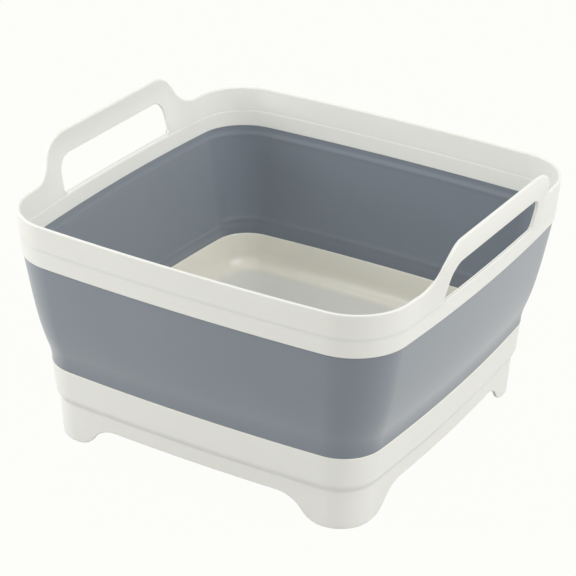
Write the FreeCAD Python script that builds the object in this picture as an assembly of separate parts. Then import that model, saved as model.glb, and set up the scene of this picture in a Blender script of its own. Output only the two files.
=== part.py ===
"""Collapsible washing-up bowl: a stiff rim with two loop handles, a soft wall that folds down,
a footed base and a drain plug.

Millimetres. The origin is on the table, midway between the four feet.
+Z is up, +X points at a handle and -Y is the front face.
"""
import FreeCAD
import Part
import math
import os
from FreeCAD import Vector

# Rim: outline over the lip, and how far its sides draw in towards the seam
RIM_LENGTH = 310.0
RIM_WIDTH = 306.0
RIM_CORNER = 42.5
RIM_HEIGHT = 32.0
RIM_DRAFT = 2.25
RIM_WALL = 2.8
BAND_HEIGHT = 14.5
BAND_PROUD = 0.4
LIP_ROUND = 1.0
SIDE_BOW_X = 4.0
SIDE_BOW_Y = 3.0

# Handles: flat loops that rise from the rim's bowed ends and lean outwards
HANDLE_SPAN = 198.0
HANDLE_GRIP = 109.0
HANDLE_RISE = 27.0
HANDLE_FLAT = 140.0
HANDLE_EASE = 30.0
HANDLE_SET_IN = 1.0
HANDLE_LEAN = 5.6
HANDLE_LEAN_HEIGHT = 38.0
HANDLE_STATIONS = 21
LEAN_BELOW = 8.0
LEAN_EASE = 20.0
SHOULDER_SHARE = 0.55
SLOT_LENGTH = 134.0
SLOT_LEAN = 3.0
SLOT_HEIGHT = 26.5
SLOT_ROUND = 12.0
SLOT_HEEL_ROUND = 2.5

# Folding wall: a thick panel between two thin hinge bands
WALL_HEIGHT = 85.0
WALL_DRAFT_X = 17.2
WALL_DRAFT_Y = 14.9
WALL_UNDERCUT = 0.6
WALL_BULGE = 0.27
WALL_BULGE_POWER = 4.5
WAIST_CORNER = 31.0
PANEL_THICKNESS = 3.2
HINGE_THICKNESS = 2.4
UPPER_HINGE_HEIGHT = 5.5
LOWER_HINGE_HEIGHT = 15.5
LOWER_BAND_HEIGHT = 8.0
HINGE_RAMP = 1.6

# Bonded joints between the soft wall and the two stiff mouldings
TONGUE_THICKNESS = 0.9
TONGUE_LENGTH = 5.7
TONGUE_INSET = 1.2
TONGUE_CLEARANCE = 0.3
INNER_SEAM_STEP = 1.6

# Base: a shallow tray over a skirt that is cut away between four corner feet
BASE_HEIGHT = 59.0
BASE_WALL = 3.2
BASE_DRAFT = 1.8
BEND_TOP = 38.0
BEND_BOTTOM = 31.0
BEND_INSET = 3.3
FOOT_DRAFT = 1.5
SKIRT_WALL = 2.8
FLOOR_TOP = 32.5
FLOOR_THICKNESS = 2.6
FLOOR_ROUND = 9.0
ARCH_HEIGHT = 18.5
ARCH_FLAT = 132.0
ARCH_SPAN = 202.0
ARCH_SHARE = 0.55

# Drain in the middle of the floor, and the plug that closes it
DRAIN_BORE = 34.0
DRAIN_DEPTH = 11.5
DRAIN_COLLAR_WALL = 3.0
SEAT_DIAMETER = 47.0
SEAT_DEPTH = 3.0
STRAINER_BAR = 3.0
STRAINER_THICKNESS = 2.2
PLUG_CLEARANCE = 0.4
PLUG_FLANGE = 2.4
PLUG_FLANGE_ROUND = 0.8
PLUG_BODY_LENGTH = 5.0
PLUG_LEAD_IN = 1.2
PLUG_TAB_WIDTH = 22.0
PLUG_TAB_THICKNESS = 4.0
PLUG_TAB_HEIGHT = 11.0
PLUG_TAB_BEAD = 6.0
PLUG_BEAD_ROUND = 1.5

# Heights that follow from the sizes above
SEAM_Z = BASE_HEIGHT + WALL_HEIGHT
RIM_TOP = SEAM_Z + RIM_HEIGHT
BAND_TOP = SEAM_Z + BAND_HEIGHT
HANDLE_TOP = RIM_TOP + HANDLE_RISE
REACH = RIM_LENGTH + RIM_WIDTH

# Overrun of a cut past the face it opens, and how near counts as the same length or as touching
MARGIN = 2.0
SAME = 1e-6
NEAR = 1e-3


def side_bend(half_y, corner):
    """Radius of the bowed X sides and the angle they have turned where the corners start."""
    core_y = half_y - corner - SIDE_BOW_Y
    bend = (core_y ** 2 + SIDE_BOW_X ** 2) / (2.0 * SIDE_BOW_X)
    return bend + corner, math.asin(core_y / bend)


def section_edges(half_x, half_y, corner, z):
    """Closed outline at height z: four gently bowed sides joined by four tangent corner arcs."""
    core_x = half_x - corner - SIDE_BOW_X
    core_y = half_y - corner - SIDE_BOW_Y
    bend_y = (core_x ** 2 + SIDE_BOW_Y ** 2) / (2.0 * SIDE_BOW_Y)
    start = side_bend(half_y, corner)[1]
    end = math.pi / 2.0 - math.asin(core_x / bend_y)
    corner_points = []
    for angle in (start, (start + end) / 2.0, end):
        corner_points.append((core_x + corner * math.cos(angle), core_y + corner * math.sin(angle)))
    first, middle, last = corner_points
    path = [(half_x, 0.0), first, middle, last, (0.0, half_y)]
    path += [(-x, y) for x, y in (last, middle, first)]
    path += [(-half_x, 0.0)]
    path += [(-x, -y) for x, y in (first, middle, last)]
    path += [(0.0, -half_y)]
    path += [(x, -y) for x, y in (last, middle, first)]
    path = [path[-1]] + path[:-1]
    points = [Vector(x, y, z) for x, y in path]
    points.append(points[0])
    return [Part.Arc(*points[i:i + 3]).toShape() for i in range(0, len(points) - 1, 2)]


def section(half_x, half_y, corner, z):
    """The closed outline as one wire."""
    return Part.Wire(section_edges(half_x, half_y, corner, z))


def handle_side(half_x, half_y, corner, z, way):
    """X side of the rim at height z: a flat handle plate, narrowed to fit, stands out of the bowed side."""
    radius, turn = side_bend(half_y, corner)
    reach = radius * math.sin(turn)
    inset = rim_at(z)[0] - half_x
    rise = smooth((z - BAND_TOP + LEAN_BELOW) / LEAN_EASE)
    fit = min(1.0, reach / (HANDLE_FLAT / 2.0 + HANDLE_EASE))
    points = []
    for y in between(-reach, reach, HANDLE_STATIONS):
        bowed = half_x - radius + math.sqrt(radius ** 2 - y ** 2)
        share = rise * (1.0 - smooth((abs(y) / fit - HANDLE_FLAT / 2.0) / HANDLE_EASE))
        x = bowed + share * (handle_at(z) - inset - bowed)
        points.append(Vector(way * x, way * y, z))
    curve = Part.BSplineCurve()
    leave = Vector(way * math.sin(turn), way * math.cos(turn), 0)
    arrive = Vector(-way * math.sin(turn), way * math.cos(turn), 0)
    steps = between(0.0, 1.0, HANDLE_STATIONS)
    curve.interpolate(Points=points, Parameters=steps, InitialTangent=leave, FinalTangent=arrive)
    return curve.toShape()


def rim_loft(heights, inset):
    """Solid through the rim's outlines at each height, handles and all."""
    wires = []
    for z in heights:
        sizes = outline(rim_at, z, inset)
        edges = section_edges(*sizes)
        edges[0] = handle_side(*sizes, 1.0)
        edges[4] = handle_side(*sizes, -1.0)
        wires.append(Part.Wire(edges))
    return Part.makeLoft(wires, True, False)


def outline(shape_at, z, inset):
    """Half sizes, corner radius and height of one skin's outline, moved inwards by inset."""
    half_x, half_y, corner = shape_at(z)
    return half_x - inset, half_y - inset, corner - inset, z


def loft(shape_at, heights, inset, ruled=False):
    """Solid through the outlines that shape_at gives at each height, moved inwards by inset."""
    return Part.makeLoft([section(*outline(shape_at, z, inset)) for z in heights], True, ruled)


def between(low, high, count):
    """Evenly spaced heights from low to high."""
    return [low + (high - low) * i / (count - 1) for i in range(count)]


def smooth(t):
    """Eases from 0 to 1."""
    t = min(max(t, 0.0), 1.0)
    return t * t * (3.0 - 2.0 * t)


def handle_at(z):
    """Outside of the handles' flat plates, which lean out above the band."""
    lean = HANDLE_LEAN * smooth((z - BAND_TOP) / HANDLE_LEAN_HEIGHT)
    return RIM_LENGTH / 2.0 - HANDLE_SET_IN + lean


def rim_at(z):
    """Outside of the rim beside the handles."""
    out = RIM_DRAFT * (z - RIM_TOP) / RIM_HEIGHT
    return RIM_LENGTH / 2.0 + out, RIM_WIDTH / 2.0 + out, RIM_CORNER + out / 2.0


def wall_at(z):
    """Outside of the folding wall: bulging over the panel, upright over the lowest band."""
    panel_low = BASE_HEIGHT + LOWER_BAND_HEIGHT
    drop = min(max((SEAM_Z - z) / (SEAM_Z - panel_low), 0.0), 1.0)
    share = drop * (1.0 - WALL_BULGE) + WALL_BULGE * drop ** WALL_BULGE_POWER
    half_x, half_y, corner, _ = outline(rim_at, SEAM_Z, WALL_UNDERCUT)
    in_x = (WALL_DRAFT_X - WALL_UNDERCUT) * share
    in_y = (WALL_DRAFT_Y - WALL_UNDERCUT) * share
    return half_x - in_x, half_y - in_y, corner + (WAIST_CORNER - corner) * share


def base_at(z):
    """Outside of the base: drafted tray side, a bend inwards, then the skirt that carries the feet."""
    half_x, half_y, corner = wall_at(BASE_HEIGHT)
    inset = BASE_DRAFT * min((BASE_HEIGHT - z) / (BASE_HEIGHT - BEND_TOP), 1.0)
    bend = min(max((BEND_TOP - z) / (BEND_TOP - BEND_BOTTOM), 0.0), 1.0)
    inset += BEND_INSET * bend ** 2
    inset += FOOT_DRAFT * max((BEND_BOTTOM - z) / BEND_BOTTOM, 0.0)
    return half_x - inset, half_y - inset, corner - inset


def ring(shape_at, low, high, outer_inset, inner_inset, count=2):
    """Band between two insets of one skin, from low to high."""
    heights = between(low, high, count)
    past = between(low - MARGIN, high + MARGIN, count)
    outer = loft(shape_at, heights, outer_inset, count == 2)
    inner = loft(shape_at, past, inner_inset, count == 2)
    return outer.cut(inner)


def reverse_curve(start, end, share):
    """Two tangent arcs from start to end that leave and arrive level; share is the first arc's part."""
    run = end[0] - start[0]
    rise = end[1] - start[1]
    turn = 2.0 * math.atan2(abs(rise), abs(run))
    total = abs(run) / math.sin(turn)
    side = math.copysign(1.0, run)
    lift = math.copysign(1.0, rise)
    arcs = []
    for origin, radius, way in ((start, total * share, 1.0), (end, total * (1.0 - share), -1.0)):
        points = []
        for angle in (0.0, turn / 2.0, turn):
            across = origin[0] + way * side * radius * math.sin(angle)
            up = origin[1] + way * lift * radius * (1.0 - math.cos(angle))
            points.append((across, up))
        arcs.append(points if way > 0 else points[::-1])
    return arcs


def prism(path, along):
    """Extrudes a closed path of lines (2 points) and arcs (3 points) through the bowl along X or Y."""
    def place(point):
        if along == "X":
            return Vector(-REACH / 2.0, point[0], point[1])
        return Vector(point[0], -REACH / 2.0, point[1])
    edges = []
    for points in path:
        spots = [place(p) for p in points]
        if len(spots) == 2:
            edges.append(Part.makeLine(*spots))
        else:
            edges.append(Part.Arc(*spots).toShape())
    face = Part.Face(Part.Wire(edges))
    push = Vector(REACH, 0, 0) if along == "X" else Vector(0, REACH, 0)
    return face.extrude(push)


def mirrored(path):
    """The path run backwards on the other side of the middle plane."""
    return [[(-a, b) for a, b in reversed(points)] for points in reversed(path)]


def above_lip():
    """Everything above the lip and outside the handles' outline, as seen along X."""
    half_flat = HANDLE_GRIP / 2.0
    half_span = HANDLE_SPAN / 2.0
    right = reverse_curve((half_flat, HANDLE_TOP), (half_span, RIM_TOP), SHOULDER_SHARE)
    edge = REACH / 2.0
    ceiling = HANDLE_TOP + MARGIN * 4.0
    path = [[(-half_flat, HANDLE_TOP), (half_flat, HANDLE_TOP)]] + right
    path += [[(half_span, RIM_TOP), (edge, RIM_TOP)]]
    path += [[(edge, RIM_TOP), (edge, ceiling)]]
    path += [[(edge, ceiling), (-edge, ceiling)]]
    path += [[(-edge, ceiling), (-edge, RIM_TOP)]]
    path += [[(-edge, RIM_TOP), (-half_span, RIM_TOP)]] + mirrored(right)
    return prism(path, "X")


def hand_slot():
    """Hole for the fingers, with round upper corners and tight lower ones."""
    half_low = SLOT_LENGTH / 2.0
    half_high = half_low - SLOT_LEAN
    top = BAND_TOP + SLOT_HEIGHT
    corners = [(-half_low, BAND_TOP), (half_low, BAND_TOP), (half_high, top), (-half_high, top)]
    spots = [Vector(-REACH / 2.0, y, z) for y, z in corners]
    block = Part.Face(Part.makePolygon(spots + spots[:1])).extrude(Vector(REACH, 0, 0))
    middle = (BAND_TOP + top) / 2.0
    for radius, high in ((SLOT_ROUND, True), (SLOT_HEEL_ROUND, False)):
        along = [e for e in block.Edges if e.Length > REACH - MARGIN]
        along = [e for e in along if (e.CenterOfMass.z > middle) == high]
        block = block.makeFillet(radius, along)
    return block


def lip_edges(solid):
    """Edges of the lip, the handles' outline and the slots, which a hand touches."""
    found = []
    for face in solid.Faces:
        surface = face.Surface
        level = isinstance(surface, Part.Plane) and abs(surface.Axis.x) < SAME
        rolled = isinstance(surface, Part.Cylinder) and abs(abs(surface.Axis.x) - 1.0) < SAME
        if (level or rolled) and face.BoundBox.ZMax > BAND_TOP - NEAR:
            found.append(face)
    edges = []
    for edge in solid.Edges:
        owners = sum(1 for face in found if any(edge.isSame(e) for e in face.Edges))
        across = abs(edge.tangentAt(edge.FirstParameter).x) > 0.9 and edge.Length < RIM_WALL * 2.0
        if owners == 1 and not across:
            edges.append(edge)
    return edges


def groove(shape_at, low, high, inset):
    """Slot that takes a tongue with clearance on both faces."""
    outer = inset - TONGUE_CLEARANCE
    inner = inset + TONGUE_THICKNESS + TONGUE_CLEARANCE
    return ring(shape_at, low, high, outer, inner)


def make_rim_frame():
    """Rim and both handles in one moulding, with a proud band that grips the wall's upper tongue."""
    low = SEAM_Z
    heights = between(low, BAND_TOP, 5) + between(BAND_TOP, RIM_TOP, 6)[1:]
    heights += between(RIM_TOP, HANDLE_TOP + MARGIN, 6)[1:]
    shell = rim_loft(heights, 0.0)
    hollow = rim_loft([low - MARGIN] + heights[1:-1] + [HANDLE_TOP + MARGIN * 2.0], RIM_WALL)
    rim = shell.cut(hollow).cut(above_lip()).cut(hand_slot())
    rim = rim.makeFillet(LIP_ROUND, lip_edges(rim))
    rim = rim.fuse(ring(rim_at, low, BAND_TOP, RIM_WALL / 2.0, RIM_WALL + BAND_PROUD))
    tongue_top = low + TONGUE_LENGTH + TONGUE_CLEARANCE
    rim = rim.cut(groove(rim_at, low - MARGIN, tongue_top, TONGUE_INSET))
    inner_lip = TONGUE_INSET + TONGUE_THICKNESS
    inner_face = RIM_WALL + BAND_PROUD
    step = ring(rim_at, low - MARGIN, low + INNER_SEAM_STEP, inner_lip, inner_face + MARGIN)
    return rim.cut(step).removeSplitter()


def join_faces(low, high):
    """Faces between two outlines: none if they are the same, a flat ring if they are level."""
    if max(abs(a - b) for a, b in zip(low, high)) < SAME:
        return []
    wires = [section(*low), section(*high)]
    if abs(low[3] - high[3]) < SAME:
        return Part.makeFace(wires, "Part::FaceMakerBullseye").Faces
    return Part.makeLoft(wires, False, True).Faces


def sewn_solid(runs):
    """Closed solid whose skin follows runs of outlines round a profile, joined straight to each other."""
    faces = []
    for run, following in zip(runs, runs[1:] + runs[:1]):
        if len(run) == 2:
            faces += join_faces(*run)
        if len(run) > 2:
            faces += Part.makeLoft([section(*sizes) for sizes in run], False, False).Faces
        faces += join_faces(run[-1], following[0])
    shell = Part.makeShell(faces)
    shell.sewShape()
    solid = Part.Solid(shell)
    if solid.Volume < 0:
        solid.reverse()
    return solid


def make_folding_wall():
    """Soft wall: panel and hinge bands in one piece, with tongues that sit in the rim and in the base."""
    panel_low = BASE_HEIGHT + LOWER_BAND_HEIGHT
    upper = SEAM_Z - UPPER_HINGE_HEIGHT
    lower = BASE_HEIGHT + LOWER_HINGE_HEIGHT
    thick = PANEL_THICKNESS
    thin = HINGE_THICKNESS
    near = TONGUE_INSET
    far = TONGUE_INSET + TONGUE_THICKNESS
    tip = SEAM_Z + TONGUE_LENGTH
    root = BASE_HEIGHT - TONGUE_LENGTH
    step = SEAM_Z + INNER_SEAM_STEP
    ledge = BASE_HEIGHT + INNER_SEAM_STEP
    runs = [(wall_at, [BASE_HEIGHT, panel_low], 0.0), (wall_at, between(panel_low, SEAM_Z, 9), 0.0)]
    runs += [(rim_at, [SEAM_Z, tip], near), (rim_at, [tip, step], far)]
    runs += [(rim_at, [step], WALL_UNDERCUT + thin), (wall_at, between(SEAM_Z, upper, 3), thin)]
    runs += [(wall_at, between(upper - HINGE_RAMP, lower + HINGE_RAMP, 7), thick)]
    runs += [(wall_at, between(lower, panel_low, 3), thin), (wall_at, [panel_low, ledge], thin)]
    runs += [(base_at, [ledge, root], far), (base_at, [root, BASE_HEIGHT], near)]
    return sewn_solid([[outline(shape_at, z, inset) for z in heights] for shape_at, heights, inset in runs])


def arch(along):
    """Cut-out between the feet, level in the middle and eased down into each foot."""
    half_flat = ARCH_FLAT / 2.0
    half_span = ARCH_SPAN / 2.0
    right = reverse_curve((half_flat, ARCH_HEIGHT), (half_span, 0.0), ARCH_SHARE)
    path = [[(-half_flat, ARCH_HEIGHT), (half_flat, ARCH_HEIGHT)]] + right
    path += [[(half_span, 0.0), (half_span, -MARGIN)], [(half_span, -MARGIN), (-half_span, -MARGIN)]]
    path += [[(-half_span, -MARGIN), (-half_span, 0.0)]] + mirrored(right)
    return prism(path, along)


def disc(diameter, low, high):
    """Upright cylinder on the middle axis."""
    return Part.makeCylinder(diameter / 2.0, high - low, Vector(0, 0, low))


def make_base_tray():
    """Tray, skirt and four feet in one moulding, with a drain collar and its strainer bars."""
    outside = loft(base_at, between(BEND_TOP, BASE_HEIGHT, 2), 0.0, True)
    outside = outside.fuse(loft(base_at, between(BEND_BOTTOM, BEND_TOP, 4), 0.0))
    outside = outside.fuse(loft(base_at, [0.0, BEND_BOTTOM], 0.0, True)).removeSplitter()
    lip = ring(base_at, BASE_HEIGHT - HINGE_RAMP, BASE_HEIGHT + INNER_SEAM_STEP,
               TONGUE_INSET + TONGUE_THICKNESS + TONGUE_CLEARANCE, BASE_WALL)
    basin = loft(base_at, [FLOOR_TOP, BASE_HEIGHT + MARGIN * 2.0], BASE_WALL, True)
    rounds = [e for e in basin.Edges if abs(e.BoundBox.ZMax - FLOOR_TOP) < NEAR]
    basin = basin.makeFillet(FLOOR_ROUND, rounds)
    under = loft(base_at, [-MARGIN, FLOOR_TOP - FLOOR_THICKNESS], SKIRT_WALL, True)
    tray = outside.cut(under).fuse(lip).cut(basin)
    tongue_end = BASE_HEIGHT - TONGUE_LENGTH - TONGUE_CLEARANCE
    tray = tray.cut(groove(base_at, tongue_end, BASE_HEIGHT + MARGIN, TONGUE_INSET))
    tray = tray.cut(arch("X")).cut(arch("Y"))
    seat = FLOOR_TOP - SEAT_DEPTH
    bottom = FLOOR_TOP - DRAIN_DEPTH
    collar = disc(SEAT_DIAMETER + 2.0 * DRAIN_COLLAR_WALL, seat - DRAIN_COLLAR_WALL, FLOOR_TOP)
    collar = collar.fuse(disc(DRAIN_BORE + 2.0 * DRAIN_COLLAR_WALL, bottom, FLOOR_TOP))
    tray = tray.fuse(collar).cut(disc(SEAT_DIAMETER, seat, FLOOR_TOP + MARGIN))
    tray = tray.cut(disc(DRAIN_BORE, bottom - MARGIN, FLOOR_TOP))
    bar = DRAIN_BORE + DRAIN_COLLAR_WALL
    for size in ((bar, STRAINER_BAR), (STRAINER_BAR, bar)):
        corner = Vector(-size[0] / 2.0, -size[1] / 2.0, bottom)
        tray = tray.fuse(Part.makeBox(size[0], size[1], STRAINER_THICKNESS, corner))
    return tray.removeSplitter()


def make_drain_plug():
    """Soft plug: a flange on the seat, a body in the bore and an upright tab to pull."""
    seat = FLOOR_TOP - SEAT_DEPTH
    body = DRAIN_BORE - 2.0 * PLUG_CLEARANCE
    plug = disc(body, seat - PLUG_BODY_LENGTH, seat)
    low = [e for e in plug.Edges if abs(e.BoundBox.ZMax - seat + PLUG_BODY_LENGTH) < NEAR]
    plug = plug.makeChamfer(PLUG_LEAD_IN, low)
    flange = disc(SEAT_DIAMETER - 2.0 * PLUG_CLEARANCE, seat, seat + PLUG_FLANGE)
    rim = [e for e in flange.Edges if abs(e.BoundBox.ZMin - seat - PLUG_FLANGE) < NEAR]
    flange = flange.makeFillet(PLUG_FLANGE_ROUND, rim)
    half = PLUG_TAB_WIDTH / 2.0
    top = seat + PLUG_FLANGE + PLUG_TAB_HEIGHT
    bead_z = top - PLUG_TAB_BEAD / 2.0
    web_corner = Vector(-half, -PLUG_TAB_THICKNESS / 2.0, seat)
    web = Part.makeBox(PLUG_TAB_WIDTH, PLUG_TAB_THICKNESS, bead_z - seat, web_corner)
    bead_end = Vector(-half, 0, bead_z)
    bead = Part.makeCylinder(PLUG_TAB_BEAD / 2.0, PLUG_TAB_WIDTH, bead_end, Vector(1, 0, 0))
    bead = bead.makeFillet(PLUG_BEAD_ROUND, [e for e in bead.Edges if e.BoundBox.XLength < NEAR])
    return plug.fuse([flange, web, bead]).removeSplitter()


def main():
    os.makedirs("parts", exist_ok=True)
    makers = {"rim_frame": make_rim_frame, "folding_wall": make_folding_wall, "base_tray": make_base_tray,
              "drain_plug": make_drain_plug}
    for node, make in makers.items():
        shape = make()
        solid = shape.Solids[0]
        box = solid.BoundBox
        print(node, "solids", len(shape.Solids), "valid", solid.isValid(), "volume", round(solid.Volume),
              "x", round(box.XMin, 2), round(box.XMax, 2), "y", round(box.YMin, 2), round(box.YMax, 2),
              "z", round(box.ZMin, 2), round(box.ZMax, 2))
        shape.exportStep("parts/" + node + ".step")


main()
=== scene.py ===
"""Collapsible washing-up bowl: satin white rim, handles and base, and a soft grey wall that folds down."""
import math

import bmesh
import bpy
import numpy as np
from bpy.props import FloatProperty, FloatVectorProperty, PointerProperty
from mathutils import Matrix, Vector


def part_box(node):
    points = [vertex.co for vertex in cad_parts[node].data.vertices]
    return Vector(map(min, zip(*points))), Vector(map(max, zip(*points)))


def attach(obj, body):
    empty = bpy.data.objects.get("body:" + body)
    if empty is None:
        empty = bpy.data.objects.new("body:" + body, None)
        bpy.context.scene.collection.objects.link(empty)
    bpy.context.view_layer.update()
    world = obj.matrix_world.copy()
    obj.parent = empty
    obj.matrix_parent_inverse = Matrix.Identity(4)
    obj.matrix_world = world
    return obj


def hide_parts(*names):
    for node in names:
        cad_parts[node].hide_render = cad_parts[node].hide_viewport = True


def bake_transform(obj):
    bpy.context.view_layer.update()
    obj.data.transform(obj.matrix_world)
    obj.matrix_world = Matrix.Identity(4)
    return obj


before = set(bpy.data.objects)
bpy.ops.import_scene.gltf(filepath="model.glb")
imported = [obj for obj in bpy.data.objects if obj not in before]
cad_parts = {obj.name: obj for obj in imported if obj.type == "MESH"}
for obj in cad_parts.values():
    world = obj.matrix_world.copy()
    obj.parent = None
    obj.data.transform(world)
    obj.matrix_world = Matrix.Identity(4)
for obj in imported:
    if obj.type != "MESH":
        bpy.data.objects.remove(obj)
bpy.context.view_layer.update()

bl_info = {
    "name": "Collapsible washing-up bowl",
    "version": (1, 0, 0),
    "blender": (4, 5, 0),
    "location": "3D View > Sidebar > Bowl",
    "description": "Builds a folding bowl's rim, wall, base and plug on its packed frame, and a studio",
    "category": "Add Mesh",
}

RIM_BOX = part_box("rim_frame")
WALL_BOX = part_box("folding_wall")
BASE_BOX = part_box("base_tray")
PLUG_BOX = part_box("drain_plug")
MM = 0.001

# Kinds of column round an outline: on a side that faces X, on a corner, on a side that faces Y
X_SIDE, CORNER, Y_SIDE = 0, 1, 2
SIDE_COLUMNS = 61
RIM_CORNER_COLUMNS, WALL_CORNER_COLUMNS, BASE_CORNER_COLUMNS = 24, 28, 22
# Angles of the rows over a quarter round
QUARTER = np.radians(np.linspace(0.0, 90.0, 6))
# Corners sharper than this stay crisp under smooth shading
CRISP = math.radians(42.0)
# Where the row beside a round lies, as a share of the round's radius
SUPPORT = 0.3
# How deep the rim's plate reaches into its band
HIDDEN_FOOT = 2.5 * MM
# Flow marks in a moulding are about this wide
FLOW_MARK = 60.0 * MM
# Paper: how much light it gives back, and how far the camera sees it as plain white
PAPER_SHARE, PAPER_WHITE = 0.55, 0.98
# Softboxes: name, place and side in metres, and the point that they face
SOFTBOXES = (("right", (1.25, 0.15, 1.0), 1.2), ("left", (-1.05, -0.65, 0.75), 0.8),
             ("top", (0.1, 0.3, 1.7), 1.6))
LAMP_AIM = (0.0, 0.0, 0.1)


def linear(hex_colour):
    """Linear red, green and blue of an sRGB hex value."""
    values = [int(hex_colour[i:i + 2], 16) / 255.0 for i in (1, 3, 5)]
    return tuple(v / 12.92 if v <= 0.04045 else ((v + 0.055) / 1.055) ** 2.4 for v in values)


def length(name, millimetres, description):
    """A length property whose default is given in millimetres."""
    return FloatProperty(name=name, description=description, default=millimetres * MM, min=0.0,
                         unit="LENGTH", subtype="DISTANCE", precision=4)


def colour(name, hex_colour, description):
    """A colour property whose default is an sRGB hex value."""
    return FloatVectorProperty(name=name, description=description, default=linear(hex_colour), size=3,
                               min=0.0, max=1.0, subtype="COLOR")


def factor(name, default, description):
    """A share from 0 to 1."""
    return FloatProperty(name=name, description=description, default=default, min=0.0, max=1.0,
                         subtype="FACTOR")


def angle(name, degrees, description):
    """An angle property whose default is given in degrees."""
    return FloatProperty(name=name, description=description, default=math.radians(degrees),
                         unit="ROTATION", subtype="ANGLE")


def amount(name, default, description, unit="NONE"):
    """A plain number from 0 up."""
    return FloatProperty(name=name, description=description, default=default, min=0.0, unit=unit)


class BowlRim(bpy.types.PropertyGroup):
    """Sizes of the stiff rim and its two loop handles."""
    length_over_lip: length("Length", 310.0, "Rim's outside along X, at the lip")
    width_over_lip: length("Width", 305.9, "Rim's outside along Y, at the lip")
    corner: length("Corner", 42.5, "Radius of the rim's corners at the lip")
    height: length("Height", 32.0, "From the seam with the wall up to the lip")
    draft: length("Draft", 2.25, "How far the sides draw in from the lip down to the seam")
    wall: length("Thickness", 2.8, "Thickness of the rim just above its band")
    thinning: length("Thinning", 0.4, "How much thinner the rim gets from its band up to the lip")
    band_height: length("Band height", 14.5, "Height of the thicker band that grips the wall")
    band_proud: length("Band step", 0.3, "How far the band stands out of the inner face")
    band_round: length("Band round", 1.8, "Radius on the band's inner top edge")
    edge_round: length("Edge round", 0.8, "Radius on the hand slots' edges and the band")
    lip_round: length("Lip round", 1.15, "Radius on the lip and on the handles' tops")
    bow_x: length("Bow of the ends", 4.0, "How far the two handle sides bow outwards")
    bow_y: length("Bow of the fronts", 3.0, "How far the front and back bow outwards")
    handle_span: length("Handle span", 198.0, "Length of a handle where it leaves the lip")
    handle_grip: length("Handle grip", 113.0, "Length of a handle's level top")
    handle_rise: length("Handle rise", 27.0, "Height of a handle's top above the lip")
    handle_flat: length("Handle flat", 140.0, "Length over which a handle is flat instead of bowed")
    handle_ease: length("Handle ease", 30.0, "Length over which the flat runs out into the bowed side")
    handle_set_in: length("Handle set-in", 1.0, "How far a handle's foot stands in from the lip")
    handle_lean: length("Handle lean", 5.6, "How far a handle leans outwards")
    lean_height: length("Lean height", 38.0, "Height over which the lean is taken up")
    lean_below: length("Lean below", 8.0, "How far below the hand slot the rim starts to turn flat")
    lean_ease: length("Lean ease", 20.0, "Height over which the rim turns flat")
    shoulder: factor("Shoulder", 0.55, "Upper arc's share of the curve from a handle down to the lip")
    slot_length: length("Slot length", 134.0, "Length of a hand slot at its sill")
    slot_lean: length("Slot lean", 3.0, "How far each end of a slot leans in towards its top")
    slot_height: length("Slot height", 26.5, "Height of a hand slot above its sill")
    slot_round: length("Slot round", 12.0, "Radius of a slot's upper corners")
    slot_heel: length("Slot heel", 2.5, "Radius of a slot's lower corners")

    @property
    def seam(self):
        return RIM_BOX[0].z

    @property
    def lip(self):
        return self.seam + self.height

    @property
    def band_top(self):
        return self.seam + self.band_height

    @property
    def handle_top(self):
        return self.lip + self.handle_rise


class BowlWall(bpy.types.PropertyGroup):
    """Sizes of the soft wall and of the tongues that hold it."""
    draft_x: length("Draft of the ends", 17.2, "How far the handle sides draw in from the rim to the base")
    draft_y: length("Draft of the fronts", 14.9, "How far front and back draw in from the rim to the base")
    undercut: length("Undercut", 0.6, "How far the wall's top stands in under the rim")
    bulge: factor("Bulge", 0.27, "Share of the draft that is left to the wall's lowest part")
    bulge_power: amount("Bulge power", 4.5, "How late the wall's lowest part turns in")
    waist_corner: length("Waist corner", 31.0, "Radius of the wall's corners at the base")
    panel: length("Panel thickness", 3.2, "Thickness of the panel between the hinge bands")
    hinge: length("Hinge thickness", 2.4, "Thickness of the two hinge bands")
    upper_hinge: length("Upper hinge", 5.5, "Height of the hinge band under the rim")
    lower_hinge: length("Lower hinge", 13.5, "Height of the hinge band over the base")
    upright: length("Upright band", 8.0, "Height of the upright part over the base")
    bend: length("Bend", 7.5, "Height over which the panel eases into the upright part, to either side")
    inner_bend: length("Inner bend", 2.5, "The same on the inside")
    bead: length("Fold bead", 0.45, "How far the soft bead along each fold line stands in")
    bead_width: length("Fold bead width", 1.8, "Half the width of that bead")
    ramp: length("Ramp", 4.0, "Height of the step from a hinge band to the panel")
    tongue: length("Tongue thickness", 0.9, "Thickness of the tongues in the rim and the base")
    tongue_inset: length("Tongue inset", 1.2, "Tongue's distance from the outside")
    tongue_gap: length("Tongue gap", 0.3, "Clearance beside and beyond a tongue")
    seam_step: length("Seam step", 1.6, "How far the inside seams stand above the outside ones")

    @property
    def groove(self):
        """How far in from the outside the two flanks of a tongue's groove lie."""
        return self.tongue_inset - self.tongue_gap, self.tongue_inset + self.tongue + self.tongue_gap


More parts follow.
